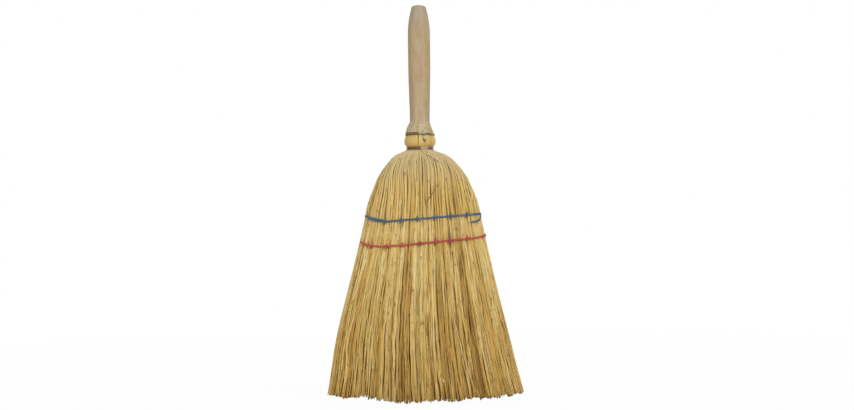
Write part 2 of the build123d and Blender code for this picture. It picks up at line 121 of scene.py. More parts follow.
def on_neck(radius, turn, height):
    """A point round the neck, turn degrees to the right of the front."""
    angle = math.radians(turn - 90)
    return Vector((radius * math.cos(angle), radius * math.sin(angle), height))


# --- Camera ---
PIXEL = 1.028  # mm in the photograph at the broom
PHOTO_WIDTH = 854
LENS = 100.0
SENSOR = 36.0
CAMERA_X = 0.0023
CAMERA_Z = 0.204
CAMERA_LEAN = -0.6
CAMERA_REACH = 50


def in_scene(name, data):
    """A new object of that name in the scene, holding the mesh, light or camera."""
    thing = bpy.data.objects.new(name, data)
    bpy.context.scene.collection.objects.link(thing)
    return thing


def add_camera():
    """A long lens, level and square to the broom's face. The broom leans a little to the left of upright in it."""
    lens = bpy.data.cameras.new("camera")
    lens.lens = LENS
    lens.sensor_width = SENSOR
    lens.clip_end = CAMERA_REACH
    distance = PHOTO_WIDTH * PIXEL * LENS / SENSOR
    camera = in_scene("camera", lens)
    camera.matrix_world = (
        Matrix.Translation((CAMERA_X, -distance * MM, CAMERA_Z))
        @ Matrix.Rotation(math.pi / 2, 4, "X")
        @ Matrix.Rotation(math.radians(CAMERA_LEAN), 4, "Z")
    )
    bpy.context.scene.camera = camera


add_camera()


# --- Finishes ---
def shade_of(red, green, blue):
    """A colour as a paint chart gives it, 0 to 255, for a shader."""
    parts = [c / 255 for c in (red, green, blue)]
    return (*[c / 12.92 if c <= 0.04045 else ((c + 0.055) / 1.055) ** 2.4 for c in parts], 1.0)


class Socket:
    """An output of a node. The usual signs add Math nodes to it."""

    def __init__(self, nodes, output):
        self.nodes = nodes
        self.output = output

    def maths(self, operation, *values):
        return self.nodes.add("ShaderNodeMath", {"operation": operation}, dict(enumerate(values)))

    def __add__(self, other):
        return self.maths("ADD", self, other)

    __radd__ = __add__

    def __sub__(self, other):
        return self.maths("SUBTRACT", self, other)

    def __rsub__(self, other):
        return self.maths("SUBTRACT", other, self)

    def __mul__(self, other):
        return self.maths("MULTIPLY", self, other)

    __rmul__ = __mul__


class Nodes:
    """The nodes of a material or of the world."""

    def __init__(self, owner):
        owner.use_nodes = True
        self.tree = owner.node_tree
        self.tree.nodes.clear()

    def add(self, kind, settings, sockets, output=0):
        """A node of that type. Its settings are set first, then the values or links of its sockets."""
        node = self.tree.nodes.new(kind)
        for name, value in settings.items():
            if name == "stops":
                self.set_stops(node.color_ramp, value)
            else:
                setattr(node, name, value)
        for key, value in sockets.items():
            if isinstance(value, Socket):
                self.tree.links.new(value.output, node.inputs[key])
            else:
                node.inputs[key].default_value = value
        return Socket(self, node.outputs[output] if node.outputs else None)

    @staticmethod
    def set_stops(ramp, stops):
        while len(ramp.elements) < len(stops):
            ramp.elements.new(0.5)
        for element, (place, *colour) in zip(ramp.elements, stops):
            element.position = place
            element.color = shade_of(*colour)


class Finish(Nodes):
    """A material and the nodes it is built of. Its colour is a ramp, tinted step by step."""

    def __init__(self, name):
        self.colour = None
        self.material = bpy.data.materials.new(name)
        super().__init__(self.material)
        self.place = self.add("ShaderNodeTexCoord", {}, {}, "Object")

    def axis(self, letter):
        """The place along one axis of the frame, in metres."""
        return self.add("ShaderNodeSeparateXYZ", {}, {0: self.place}, letter)

    def own(self, name):
        """A number that each point of the piece carries."""
        return self.add("ShaderNodeAttribute", {"attribute_name": name}, {}, "Fac")

    def ramp(self, value, stops):
        return self.add("ShaderNodeValToRGB", {"stops": stops}, {0: value})

    def between(self, value, low, high, to_low=0.0, to_high=1.0):
        """Runs smoothly from to_low to to_high as the value runs from low to high."""
        sockets = {0: value, 1: low, 2: high, 3: to_low, 4: to_high}
        return self.add("ShaderNodeMapRange", {"interpolation_type": "SMOOTHSTEP"}, sockets)

    def band(self, value, start, full, still_full, end):
        """1 from full to still_full, fading to 0 at start and end."""
        return self.between(value, start, full) * self.between(value, end, still_full)

    def mix(self, share, first, second, blend="MIX"):
        settings = {"data_type": "RGBA", "blend_type": blend}
        return self.add("ShaderNodeMix", settings, {0: share, 6: first, 7: second}, 2)

    def tint(self, share, tint, blend="MIX"):
        """Mixes a share of another colour in."""
        self.colour = self.mix(share, self.colour, shade_of(*tint), blend)

    def stretched(self, scale):
        return self.add("ShaderNodeMapping", {}, {0: self.place, 3: scale})

    def noise(self, scale, detail=2.0, rough=0.5, warp=0.0):
        """Noise that changes about so often a metre, alike in every direction or with its own scale along X, Y, Z."""
        place = self.place
        if not isinstance(scale, float):
            place, scale = self.stretched(scale), 1.0
        sockets = {"Vector": place, "Scale": scale, "Detail": detail, "Roughness": rough, "Distortion": warp}
        return self.add("ShaderNodeTexNoise", {}, sockets)

    def bump(self, height, strength, distance):
        return self.add("ShaderNodeBump", {}, {"Strength": strength, "Distance": distance, "Height": height})

    def surface(self, roughness, normal, **sockets):
        """Ends the finish in one shader, with any other sockets at set values."""
        wanted = {"Base Color": self.colour, "Roughness": roughness, "Normal": normal}
        wanted.update({name.replace("_", " "): value for name, value in sockets.items()})
        shader = self.add("ShaderNodeBsdfPrincipled", {}, wanted)
        self.add("ShaderNodeOutputMaterial", {}, {0: shader})
        return self.material


STRAW_TONES = [
    (0.0, 134, 96, 40),
    (0.22, 186, 147, 72),
    (0.5, 223, 187, 98),
    (0.78, 240, 213, 136),
    (1.0, 250, 231, 174),
]


def straw_finish(name, painted_deep_shade):
    """Dry broom straw: each straw has its own shade and hue, paler and greyer near the wire and browner at the tips.
    Where it lies deep among the others it takes painted shade, most in the inner straw."""
    finish = Finish(name)
    height = finish.axis("Z")
    shade, hue = finish.own("shade"), finish.own("hue")
    grain = finish.noise((900, 900, 22), 3.0, 0.6)
    patches = finish.noise((70, 70, 14))
    value = shade + (grain - 0.5) * 0.6 + (patches - 0.5) * 0.35
    finish.colour = finish.ramp(value, STRAW_TONES)
    green = finish.between(hue, 0.2, 0.05)
    finish.tint(green * 0.4, (188, 180, 116))
    rust = finish.between(hue, 0.88, 0.99)
    finish.tint(rust * 0.36, (206, 142, 70))
    sewn = finish.band(height, 0.166, 0.174, 0.188, 0.2)
    finish.tint(sewn * 0.38, (238, 208, 140))
    near_wire = finish.between(height, 0.205, 0.262)
    finish.tint(near_wire * 0.6, (210, 194, 158))
    worn = finish.between(height, 0.17, 0.03)
    finish.tint(worn * 0.45, (236, 212, 152), "MULTIPLY")
    freckle = finish.between(finish.noise((420, 420, 150), 1.0), 0.64, 0.74)
    finish.tint(freckle * 0.6, (132, 92, 42))
    # Painted shade: straw that lies deep in the head is darkened in its colour.
    sunk = finish.between(finish.own("sunk"), 1.0, 4.6)
    finish.tint(sunk * 0.8, (128, 90, 40), "MULTIPLY")
    # More painted shade where the inner straw lies deep.
    if painted_deep_shade:
        finish.tint(sunk * painted_deep_shade, (104, 72, 32))
    rough = finish.between(grain, 0.3, 0.7, 0.5, 0.7)
    return finish.surface(rough, finish.bump(grain, 0.3, 0.0003))


def bound_stalk_finish():
    """The flattened stalks between the wires: smoother and more golden low down, with painted shade in the split
    under the nail.
    """
    finish = Finish("bound stalks")
    shade, hue = finish.own("shade"), finish.own("hue")
    grain = finish.noise((600, 600, 30), 3.0, 0.6)
    blotch = finish.noise((160, 160, 70))
    value = shade + (grain - 0.5) * 0.3 + (blotch - 0.5) * 0.35
    finish.colour = finish.ramp(value, STRAW_TONES)
    golden = finish.between(finish.axis("Z"), 0.274, 0.266)
    finish.tint(golden * 0.4, (210, 164, 90))
    pale = finish.between(hue, 0.55, 0.9)
    finish.tint(pale * 0.4, (212, 200, 160))
    # Painted shade in the split that the nail makes in the stalks below its head.
    squashed = (1.0, 1.0, 0.62)
    split = in_frame(on_neck(15.9, NAIL_TURN, NAIL_HEIGHT - 2.5)) * squashed
    sockets = {0: finish.stretched(squashed), 1: tuple(split)}
    away = finish.add("ShaderNodeVectorMath", {"operation": "DISTANCE"}, sockets, "Value")
    finish.tint(finish.between(away, 0.0026, 0.0011) * 0.75, (112, 78, 34))
    return finish.surface(0.5, finish.bump(grain, 0.35, 0.0003))


def shaved_end_finish():
    """Stalks cut slantwise with a knife: pale pith inside a tan rind, weathered grey-brown."""
    finish = Finish("shaved stalk ends")
    shade, hue = finish.own("shade"), finish.own("hue")
    blotch = finish.noise(420.0, 3.0, 0.6)
    fine = finish.noise(1100.0)
    value = shade + (blotch - 0.5) * 0.6 + (fine - 0.5) * 0.6
    tones = [
        (0.0, 134, 112, 76),
        (0.35, 186, 164, 122),
        (0.65, 212, 196, 158),
        (1.0, 232, 220, 190),
    ]
    finish.colour = finish.ramp(value, tones)
    finish.tint(finish.between(hue, 0.3, 0.1) * 0.22, (176, 172, 120))
    finish.tint(finish.between(hue, 0.75, 0.95) * 0.35, (200, 152, 96))
    return finish.surface(0.75, finish.bump(blotch + fine * 0.5, 0.5, 0.0004))


def handle_finish():
    """Bare turned wood: soft blotches over faint long grain, painted warm shade down the left, and greyed at the end.
    """
    finish = Finish("handle wood")
    long_grain = finish.noise((230, 230, 9), 4.0, 0.6, 0.5)
    pores = finish.noise((1500, 1500, 60))
    broad = finish.noise((60, 60, 22))
    blotch = finish.noise((170, 170, 75), 3.0, 0.6, 0.6)
    lathe = finish.noise((8, 8, 900), 1.0)
    value = 0.5 + (long_grain - 0.5) * 0.42 + (broad - 0.5) * 0.6 + (blotch - 0.5) * 0.55 + (pores - 0.5) * 0.2
    tones = [
        (0.0, 148, 118, 78),
        (0.35, 180, 152, 112),
        (0.6, 194, 172, 136),
        (1.0, 210, 193, 162),
    ]
    finish.colour = finish.ramp(value, tones)
    # Painted shade: the wood's left side is darkened a little and warmed.
    painted_warm_shade = finish.between(finish.axis("X"), -0.0085, -0.0145)
    finish.tint(painted_warm_shade, (254, 245, 226), "MULTIPLY")
    greyed = finish.between(finish.axis("Z"), 0.372, 0.408)
    finish.tint(greyed * 0.55, (172, 160, 144))
    rough = finish.between(long_grain, 0.3, 0.7, 0.48, 0.66)
    relief = long_grain * 0.5 + blotch * 0.2 + pores * 0.3 + lathe * 0.1
    return finish.surface(rough, finish.bump(relief, 0.25, 0.0004))


def wire_finish():
    """Old annealed wire: brown-black on the left, which is painted shade, and a dull grey shine on the right. The
    strand that slants between the lower turns has a pale painted highlight."""
    finish = Finish("binding wire")
    across = finish.axis("X")
    stain = finish.noise(260.0, 4.0, 0.6)
    painted_shade_tones = [(0.3, 84, 66, 40), (0.55, 112, 94, 62), (0.8, 146, 130, 100)]
    grey = [(0.3, 98, 90, 80), (0.55, 132, 126, 116), (0.8, 168, 166, 160)]
    # Painted shade: the left of the wire takes the brown-black tones.
    to_right = finish.between(across, -0.006, 0.001)
    finish.colour = finish.mix(to_right, finish.ramp(stain, painted_shade_tones), finish.ramp(stain, grey))
    # Painted highlight on the front of the strand that slants between the lower turns.
    low = finish.between(finish.axis("Z"), 0.268, 0.266)
    in_front = finish.between(finish.axis("Y"), 0, -0.002)
    painted_highlight = finish.band(across, -0.0035, -0.0015, 0.0025, 0.0045) * low * in_front
    finish.tint(painted_highlight * 0.85, (196, 198, 188))
    metal = finish.between(stain, 0.35, 0.6, 0.3, 0.8)
    rough = finish.between(stain, 0.3, 0.7, 0.62, 0.36)
    return finish.surface(rough, finish.bump(stain, 0.2, 0.0002), Metallic=metal)


def nail_finish():
    """Steel dulled by a tan film."""
    finish = Finish("nail steel")
    stain = finish.noise(900.0, 3.0, 0.6)
    tones = [(0.3, 150, 128, 96), (0.55, 196, 182, 158), (0.8, 216, 206, 188)]
    rough = finish.between(stain, 0.3, 0.7, 0.55, 0.35)
    finish.colour = finish.ramp(stain, tones)
    return finish.surface(rough, finish.bump(stain, 0.3, 0.0002), Metallic=0.35)


def twine_finish(name, dark, middle, light, faded):
    """Twisted, dyed cotton twine: each strand has painted shade in the grooves between strands and is paler on its
    crown, with dusty, faded patches.
    """
    finish = Finish(name)
    fuzz = finish.noise(2600.0, 3.0, 0.7)
    patches = finish.noise(120.0)
    # Painted shade: the colour runs from shaded in the grooves to pale on each strand's crown.
    value = finish.own("crown") * 0.55 + (fuzz - 0.5) * 0.5 + (patches - 0.5) * 0.6 + 0.2
    finish.colour = finish.ramp(value, [(0.0, *dark), (0.45, *middle), (0.85, *light)])
    dusty = finish.between(patches, 0.55, 0.75)
    finish.tint(dusty * 0.3, faded)
    return finish.surface(0.85, finish.bump(fuzz, 0.5, 0.0002), Sheen_Weight=0.25, Sheen_Roughness=0.5)


COVER_FINISH = straw_finish("cover straw", 0.0)
# The inner straw takes extra painted shade where it lies deep.
INNER_FINISH = straw_finish("inner straw", 0.4)
BOUND_FINISH = bound_stalk_finish()
SHAVED_FINISH = shaved_end_finish()
HANDLE_FINISH = handle_finish()
WIRE_FINISH = wire_finish()
NAIL_FINISH = nail_finish()
BLUE_FINISH = twine_finish("blue twine", (26, 36, 56), (50, 72, 104), (92, 122, 150), (120, 130, 132))
RED_FINISH = twine_finish("red twine", (104, 24, 28), (176, 48, 50), (214, 96, 88), (196, 120, 96))


# --- Where the straw runs ---
def smooth_table(table, step=0.5):
    """A table filled in on smooth curves through its rows, ready to be read between them."""
    at, values = table[:, 0], table[:, 1:]
    slopes = np.gradient(values, at, axis=0)
    fine = np.arange(at[0], at[-1] + step / 2, step)
    row = np.clip(np.searchsorted(at, fine, side="right") - 1, 0, len(at) - 2)
    span = at[row + 1] - at[row]
    t = ((fine - at[row]) / span)[:, None]
    span = span[:, None]
    start, end = values[row], values[row + 1]
    curve = (
        (2 * t**3 - 3 * t**2 + 1) * start
        + (t**3 - 2 * t**2 + t) * span * slopes[row]
        + (3 * t**2 - 2 * t**3) * end
        + (t**3 - t**2) * span * slopes[row + 1]
    )
    return fine, curve


DROPS, SHAPE = smooth_table(OUTLINE)
BASE_AT, BASE_RISE = smooth_table(BASE_LINE)

# The hollow that the peg fills: its radius at those drops.
HOLLOW_DROPS = [10, 50, 64]
HOLLOW_RADII = [8.9, 3.0, MIDDLE_GAP]
THINNEST = 0.2

ROW_REACH = 9.0  # above and below a sewn row, where its stitches shape the straw
PARTED_BY, PARTED_WITHIN = 0.9, 3.5
DRAWN_IN_BY, DRAWN_IN_WITHIN = 1.3, 2.6
EASED_BELOW = 8.0  # half thickness under which a stitch draws in less
EDGE_DRAWN_BY, EDGE_DRAWN_WITHIN, EDGE_DRAWN_FROM = 1.9, 4.0, 0.86

BASE_LIFT = 0.2
BROAD_TUFT, FINE_TUFT = 0.7, 0.5


def row_height(row, across):
    left = row["left"] * np.maximum(0.0, -across - 0.6) ** 2
    right = row["right"] * np.maximum(0.0, across - 0.8) ** 2
    return NECK_FOOT - row["drop"] + row["slope"] * across + left + right


def edge_share(across):
    """Thickness of the flat head at a place across it, as a share of its middle thickness."""
    return (1 - (EDGE_CUT * np.minimum(1.0, np.abs(across))) ** EDGE_POWER) ** (1 / EDGE_POWER)


def settled(drops, by):
    """0 at the wire, where the straw is held in order, and 1 from the drop by which it is free."""
    share = np.clip(drops / by, 0, 1)
    return share * share * (3 - 2 * share)


def shape_at(drop):
    """Half width, sideways offset and half thickness of the straw."""
    return [np.interp(drop, DROPS, SHAPE[:, k]) for k in range(3)]


def straw_places(across, depth, drop, side, radius):
    """Places in the head for arrays of across, depth and drop, for straws of that radius."""
    half_width, offset, half_thickness = shape_at(drop)
    half_width, half_thickness = half_width - radius, half_thickness - radius
    flat = settled(drop, FLAT_FROM)
    turn = np.pi * (1 - across) / 2
    core = np.interp(drop, HOLLOW_DROPS, HOLLOW_RADII)
    ring = core + depth * (half_width - core)
    x = offset * (flat + (1 - flat) * depth) + (1 - flat) * ring * np.cos(turn) + flat * half_width * across
    inner = np.maximum(core * np.sin(turn), MIDDLE_GAP)
    outer = half_thickness * ((1 - flat) * np.sin(turn) + flat * edge_share(across))
    y = inner + depth * np.maximum(outer - inner, THINNEST)
    for row in (BLUE_ROW, RED_ROW):
        x, y = pinched(row, across, half_width, offset, drop, x, y)
    return np.stack([x, side * y, NECK_FOOT - drop], -1)


def pinched(row, across, half_width, offset, drop, x, y):
    """The straw parts at each stitch and is drawn in there, and at both ends of the row."""
    level = NECK_FOOT - drop - row_height(row, across)
    near_row = np.exp(-((level / ROW_REACH) ** 2))
    at_edge = np.clip((np.abs(across) - EDGE_DRAWN_FROM) / (1 - EDGE_DRAWN_FROM), 0, 1)
    x = x - np.sign(across) * EDGE_DRAWN_BY * at_edge * np.exp(-((level / EDGE_DRAWN_WITHIN) ** 2))
    for place in row["stitches"]:
        away = x - (offset + half_width * place)
        x = x + near_row * PARTED_BY * np.sign(away) * np.exp(-np.abs(away) / PARTED_WITHIN)
        eased = np.clip(y / EASED_BELOW, 0, 1)
        y = y - near_row * DRAWN_IN_BY * np.exp(-((away / DRAWN_IN_WITHIN) ** 2)) * eased
    return x, y


def base_height(x):
    """Height of the trimmed base at a place across it: a shallow arc in small tufts."""
    tufts = BROAD_TUFT * np.sin(x / 2.9 + 1.3) * np.sin(x / 7.7) + FINE_TUFT * np.sin(x / 1.7 + 0.4)
    return BASE_LIFT + np.interp(x, BASE_AT, BASE_RISE[:, 0]) + tufts


# --- Straws as fine tubes ---
STRIP_SIDE, STRIP_END = 0.15, 0.05  # margins of a straw's strip in the map, as shares of it


def straw_piece(name, batches, finish):
    """One piece of many straws. A batch is places (straws, points, 3), radii (straws, points), shade and hue of each
    straw, how much painted shade each point takes from how deep it lies, and how many sides the straws have. Each
    straw closes to a point at both ends."""
    joined = bmesh.new()
    for batch in batches:
        sides = batch["sides"]
        part = tubes(batch["places"], batch["radii"], sides)
        count, points = batch["radii"].shape
        for label, values in [
            ("shade", np.repeat(batch["shade"], points * sides)),
            ("hue", np.repeat(batch["hue"], points * sides)),
            ("sunk", np.repeat(batch["sunk"].ravel(), sides)),
        ]:
            mark_points(part, label, values)
        lay_map(part, count, points, sides)
        joined.from_mesh(part)
        bpy.data.meshes.remove(part)
    bmesh.ops.remove_doubles(joined, verts=joined.verts, dist=SAME_PLACE)
    return finish_piece(joined, name, finish)


def finish_piece(work, name, finish):
    """Turns the work into a piece with that finish, smooth except for its end caps."""
    bmesh.ops.recalc_face_normals(work, faces=work.faces)
    for face in work.faces:
        face.smooth = len(face.verts) <= 4
    mesh = bpy.data.meshes.new(name)
    work.to_mesh(mesh)
    work.free()
    mesh.materials.append(finish)
    piece = in_scene(name, mesh)
    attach(piece, "root")
    return piece


def mark_points(mesh, label, values):
    mesh.attributes.new(label, "FLOAT", "POINT").data.foreach_set("value", values.astype(np.float32))


def tubes(places, radii, sides):
    """A mesh of round tubes along those places, sides a multiple of two from four up."""
    curve = bpy.data.curves.new("straws", "CURVE")
    curve.dimensions = "3D"
    curve.bevel_depth = MM
    curve.bevel_resolution = (sides - 4) // 2
    placed = in_frame(places)
    for line, widths in zip(placed, radii):
        spline = curve.splines.new("POLY")
        spline.points.add(len(line) - 1)
        spline.points.foreach_set("co", np.c_[line, np.ones(len(line))].astype(np.float32).ravel())
        spline.points.foreach_set("radius", widths.astype(np.float32))
    return mesh_of(curve)


def mesh_of(curve):
    """The mesh that a curve makes. The curve is used up."""
    holder = bpy.data.objects.new("curve", curve)
    mesh = bpy.data.meshes.new_from_object(holder)
    bpy.data.objects.remove(holder)
    bpy.data.curves.remove(curve)
    return mesh


def lay_map(mesh, count, points, sides):
    """A map with a strip for each straw, its root at the foot of the strip."""
    corner = np.zeros(len(mesh.loops), np.int32)
    mesh.loops.foreach_get("vertex_index", corner)
    straw, within = corner // (points * sides), corner % (points * sides)
    ring, edge = within // sides, within % sides
    stacks = max(1, round(math.sqrt(count / 24)))
    columns = math.ceil(count / stacks)
    u = (straw % columns + STRIP_SIDE + (1 - 2 * STRIP_SIDE) * (edge % 2)) / columns
    v = (straw // columns + STRIP_END + (1 - 2 * STRIP_END) * ring / (points - 1)) / stacks
    while mesh.uv_layers:
        mesh.uv_layers.remove(mesh.uv_layers[0])
    mesh.uv_layers.new(name="OFBake").data.foreach_set("uv", np.c_[u, v].astype(np.float32).ravel())


# --- Stalks, strands and fibres ---
# Swings: how far they go, and over what length of straw each repeats.
STALK_SWAY = (0.4, 0.3, 0.2), (170, 80, 40)
STALK_DIP = (0.35, 0.3), (150, 70)
STRAND_SWAY = (0.45, 0.35, 0.22), (140, 64, 34)
STRAND_DIP = (0.6, 0.5), (110, 46)
FIBRE_SWAY = (0.26, 0.2, 0.19), (64, 34, 19)

STALK_DROPS = np.array([-3.6, -1.5, 0.8, 3.5, 7, 12, 19, 28, 40, 55, 72, 92, 115])
STALK_SWELL = np.array([0.5, 0.54, 0.59, 0.67, 0.77, 0.87, 0.95, 1.0, 1.0, 0.95, 0.86, 0.66, 0.25])
STALK_SIDES = 6
FREE_BY = 22.0
LONGER_BELOW = 40  # drop from which stalks differ in length
OUTERMOST = 0.985
EDGE_LIMIT = 0.997
DEEPEST = 0.02

FIBRE_SIDES = 4
FRAYED_OVER = 90.0
SHORTEST = 0.35
BEVEL = 2.1
TUFT_ROUND, STRAND_ROUND = 8, 0.7
RAGGED = 0.5
STRAY_LEAN = 0.01, 0.034
GATHERED, GATHERED_FROM = 0.4, 0.8
STRAND_RADIUS, STRAND_SPREAD = 0.45, 0.18
# Painted shade: how much a straw's depth below the face darkens its colour.
INSIDE_PAINTED_SHADE = 0.7
EDGE_LIT = 0.1  # width of the edges, as across, where inner straw shows and gets no painted shade

COVER_STALKS, COVER_STRANDS, COVER_STRAYS = 42, 3, 0.14
# Stagger, depth, girth, fibres in a strand, and drops between which the fibres start.
COVER_LAYERS = [(0.0, 1.0, 1.0, 11, (24, 80)), (0.5, 0.88, 1.1, 9, (30, 70))]
CORE_GIRTH, CORE_STRANDS, CORE_FIBRES, CORE_STARTS, CORE_STRAYS, CORE_POINTS = 1.5, 2, 14, (50, 90), 0.1, 7
# Painted shade: the core straw is coloured this much lower in shade.
CORE_PAINTED_SHADE = 0.15
# Depth, number of stalks, and how they crowd to the edges: 1 is evenly.
CORE_LAYERS = [(0.66, 26, 1.0), (0.4, 22, 0.7), (0.15, 20, 0.3), (0.02, 20, 0.22)]


def even(low, high, count):
    return chance.uniform(low, high, count)


def waves(count, reaches, lengths):
    """Slow random swings, one set for each straw."""
    size = (count, len(reaches))
    return dict(
        reach=np.array(reaches) * chance.normal(0, 1, size),
        turn=2 * np.pi / (np.array(lengths) * chance.uniform(0.75, 1.35, size)),
        start=chance.uniform(0, 2 * np.pi, size),
    )


def swing(wave, drops):
    """How far each straw has swung at its drops, (straws, points)."""
    angle = drops[:, :, None] * wave["turn"][:, None, :] + wave["start"][:, None, :]
    return (wave["reach"][:, None, :] * np.sin(angle)).sum(2)


def picked(wave, index):
    return {name: values[index] for name, values in wave.items()}


def clump_shades(count):
    """Shades that change from stalk to stalk, with a slow drift across the broom."""
    own = chance.normal(0, 0.1, count)
    drift = np.convolve(chance.normal(0, 0.1, count + 4), np.ones(5) / 5, "valid")
    return np.clip(0.56 + own + drift, 0.05, 1.0)


def stalk_layer(count, stagger, depth, girth, side, crowd=1.0):
    """A layer of stalks that fan out from under the lower wire and taper away among the fibres."""
    home = -1 + (2 * np.arange(count) + 1 + stagger) / count + even(-0.3, 0.3, count) / count
    home = np.sign(home) * np.clip(np.abs(home) ** crowd, 0, OUTERMOST)
    layer = dict(home=home, depth=depth, side=side, shade=clump_shades(count), hue=chance.random(count))
    layer["sway"] = waves(count, *STALK_SWAY)
    layer["dip"] = waves(count, *STALK_DIP)
    layer["sink"] = np.abs(chance.normal(0, 0.45, count))
    reach = even(0.8, 1.9, count)
    longer = LONGER_BELOW + (STALK_DROPS - LONGER_BELOW) * reach[:, None]
    drops = np.where(STALK_DROPS > LONGER_BELOW, longer, STALK_DROPS)
    free = settled(drops, FREE_BY)
    under_fibres = 1.2 * np.clip((drops - 60) / 80, 0, 1)
    layer["drops"] = drops
    layer["radii"] = girth * STALK_SWELL * even(0.78, 1.2, count)[:, None]
    layer["across"] = home[:, None] + swing(layer["sway"], drops) * free / shape_at(drops)[0]
    layer["sunk"] = (layer["sink"][:, None] + swing(layer["dip"], drops)) * free + under_fibres
    return layer


def strands(layer, per_stalk):
    """Each stalk frays into a few strands, which carry the fibres down to the base."""
    stalks = len(layer["home"])
    parent = np.repeat(np.arange(stalks), per_stalk)
    count = len(parent)
    beside = (np.tile(np.arange(per_stalk), stalks) + 0.5) / per_stalk * 2 - 1
    return dict(
        parent=parent,
        beside=beside * 0.5 + chance.normal(0, 0.1, count),
        sway=waves(count, *STRAND_SWAY),
        dip=waves(count, *STRAND_DIP),
        sink=np.abs(chance.normal(0, 0.85, count)),
        shade=np.clip(layer["shade"][parent] + chance.normal(0, 0.15, count), 0, 1),
        hue=np.clip(0.5 + (layer["hue"][parent] - 0.5) * 0.6 + chance.normal(0, 0.2, count), 0, 1),
        short=chance.normal(0, 0.7, stalks)[parent] + chance.normal(0, 0.4, count),
    )


def fibres(layer, family, each, starts, loose, points=20):
    """Fine fibres, each in a strand, that end at the trimmed base. A share of them run loose across the others."""
    strand = np.repeat(np.arange(len(family["parent"])), each)
    parent = family["parent"][strand]
    count = len(strand)
    home = layer["home"][parent]
    beside = family["beside"][strand] * 2 / len(layer["home"])
    out, angle = np.sqrt(chance.random(count)), even(0, 2 * np.pi, count)
    stray = chance.random(count) < loose
    lean = np.where(stray, chance.normal(*STRAY_LEAN, count), 0.0)
    start = even(*starts, count)
    place = np.clip(home + beside + lean, -1, 1)
    tip = SHAPE[-1, 1] + SHAPE[-1, 0] * place
    bevelled = BEVEL * layer["depth"] * edge_share(place)
    rounded = TUFT_ROUND * family["beside"][strand] ** 2 + STRAND_ROUND * out**2
    ragged = family["short"][strand] + chance.exponential(RAGGED, count) + rounded
    end = NECK_FOOT - np.maximum(SHORTEST, base_height(tip) + bevelled + ragged)
    along = np.linspace(0, 1, points)[None, :]
    drops = start[:, None] + (end - start)[:, None] * along
    frayed = settled(drops - start[:, None] * 0.6, FRAYED_OVER)
    own = waves(count, *FIBRE_SWAY)
    reach = STRAND_RADIUS + STRAND_SPREAD * np.clip((drops - 60) / 200, 0, 1)
    sideways = (
        swing(picked(layer["sway"], parent), drops) * (1 - 0.5 * frayed)
        + swing(picked(family["sway"], strand), drops) * frayed
        + swing(own, drops)
        + (out * np.cos(angle))[:, None] * reach
    )
    gathered = np.clip((along - GATHERED_FROM) / (1 - GATHERED_FROM), 0, 1) ** 1.5
    across = home[:, None] + beside[:, None] * (0.3 + 0.7 * frayed - GATHERED * gathered)
    across = across + sideways / shape_at(drops)[0] * (1 - 0.25 * gathered) + lean[:, None] * along**1.6
    of_stalk = layer["sink"][parent][:, None] + swing(picked(layer["dip"], parent), drops)
    of_strand = family["sink"][strand][:, None] + swing(picked(family["dip"], strand), drops)
    sink = (of_stalk * (1 - frayed) + of_strand * frayed) * np.where(stray, 0.15, 1.0)[:, None]
    sink = sink + (1 - out * np.sin(angle))[:, None] * reach + (1 - along) ** 4
    girth = even(0.25, 0.45, count) + np.where(chance.random(count) < 0.14, 0.22, 0.0)
    return dict(
        home=home,
        depth=layer["depth"],
        side=layer["side"],
        across=across,
        sunk=sink,
        drops=drops,
        radii=girth[:, None] * (1.0 - 0.35 * along**2),
        shade=np.clip(family["shade"][strand] + chance.normal(0, 0.13, count) + 0.12 * stray, 0, 1),
        hue=np.clip(family["hue"][strand] + chance.normal(0, 0.1, count), 0, 1),
    )


def ended(values, before=0.0, after=0.0):
    """The same rows with one more point at each end."""
    return np.concatenate([values[:, :1] + before, values, values[:, -1:] + after], 1)


def batch_of(group, pick, sides):
    """The picked straws of a group, with a point of no width just past each end, so that their ends close."""
    drops = ended(group["drops"][pick], -0.25, 0.3)
    thick = ended(group["radii"][pick])
    sunk = np.maximum(0, ended(group["sunk"][pick]))
    across = np.clip(ended(group["across"][pick]), -EDGE_LIMIT, EDGE_LIMIT)
    depth = np.clip(group["depth"] - sunk / shape_at(drops)[2], DEEPEST, 1)
    places = straw_places(across, depth, drops, group["side"], thick)
    radii = thick.copy()
    radii[:, [0, -1]] = 0
    # Painted shade: how deep each point lies darkens it in the finish, except near the edges, where the inner straw
    # shows.
    hidden = np.clip((1 - np.abs(across)) / EDGE_LIT - 0.3, 0, 1)
    inside = (sunk + (1 - group["depth"]) * shape_at(drops)[2] * INSIDE_PAINTED_SHADE) * hidden
    return dict(
        places=places, radii=radii, shade=group["shade"][pick], hue=group["hue"][pick], sunk=inside, sides=sides
    )


def cover_groups(side):
    groups = []
    for stagger, depth, girth, each, starts in COVER_LAYERS:
        layer = stalk_layer(COVER_STALKS, stagger, depth, girth, side)
        family = strands(layer, COVER_STRANDS)
        groups += [(layer, STALK_SIDES), (fibres(layer, family, each, starts, COVER_STRAYS), FIBRE_SIDES)]
    return groups


def core_groups(side):
    groups = []
    for depth, count, crowd in CORE_LAYERS:
        layer = stalk_layer(count, 0.0, depth, CORE_GIRTH, side, crowd)
        family = strands(layer, CORE_STRANDS)
        # Painted shade: the core straw's colour is lowered.
        layer["shade"] = layer["shade"] - CORE_PAINTED_SHADE
        fine = fibres(layer, family, CORE_FIBRES, CORE_STARTS, CORE_STRAYS, CORE_POINTS)
        groups += [(layer, STALK_SIDES), (fine, FIBRE_SIDES)]
    return groups


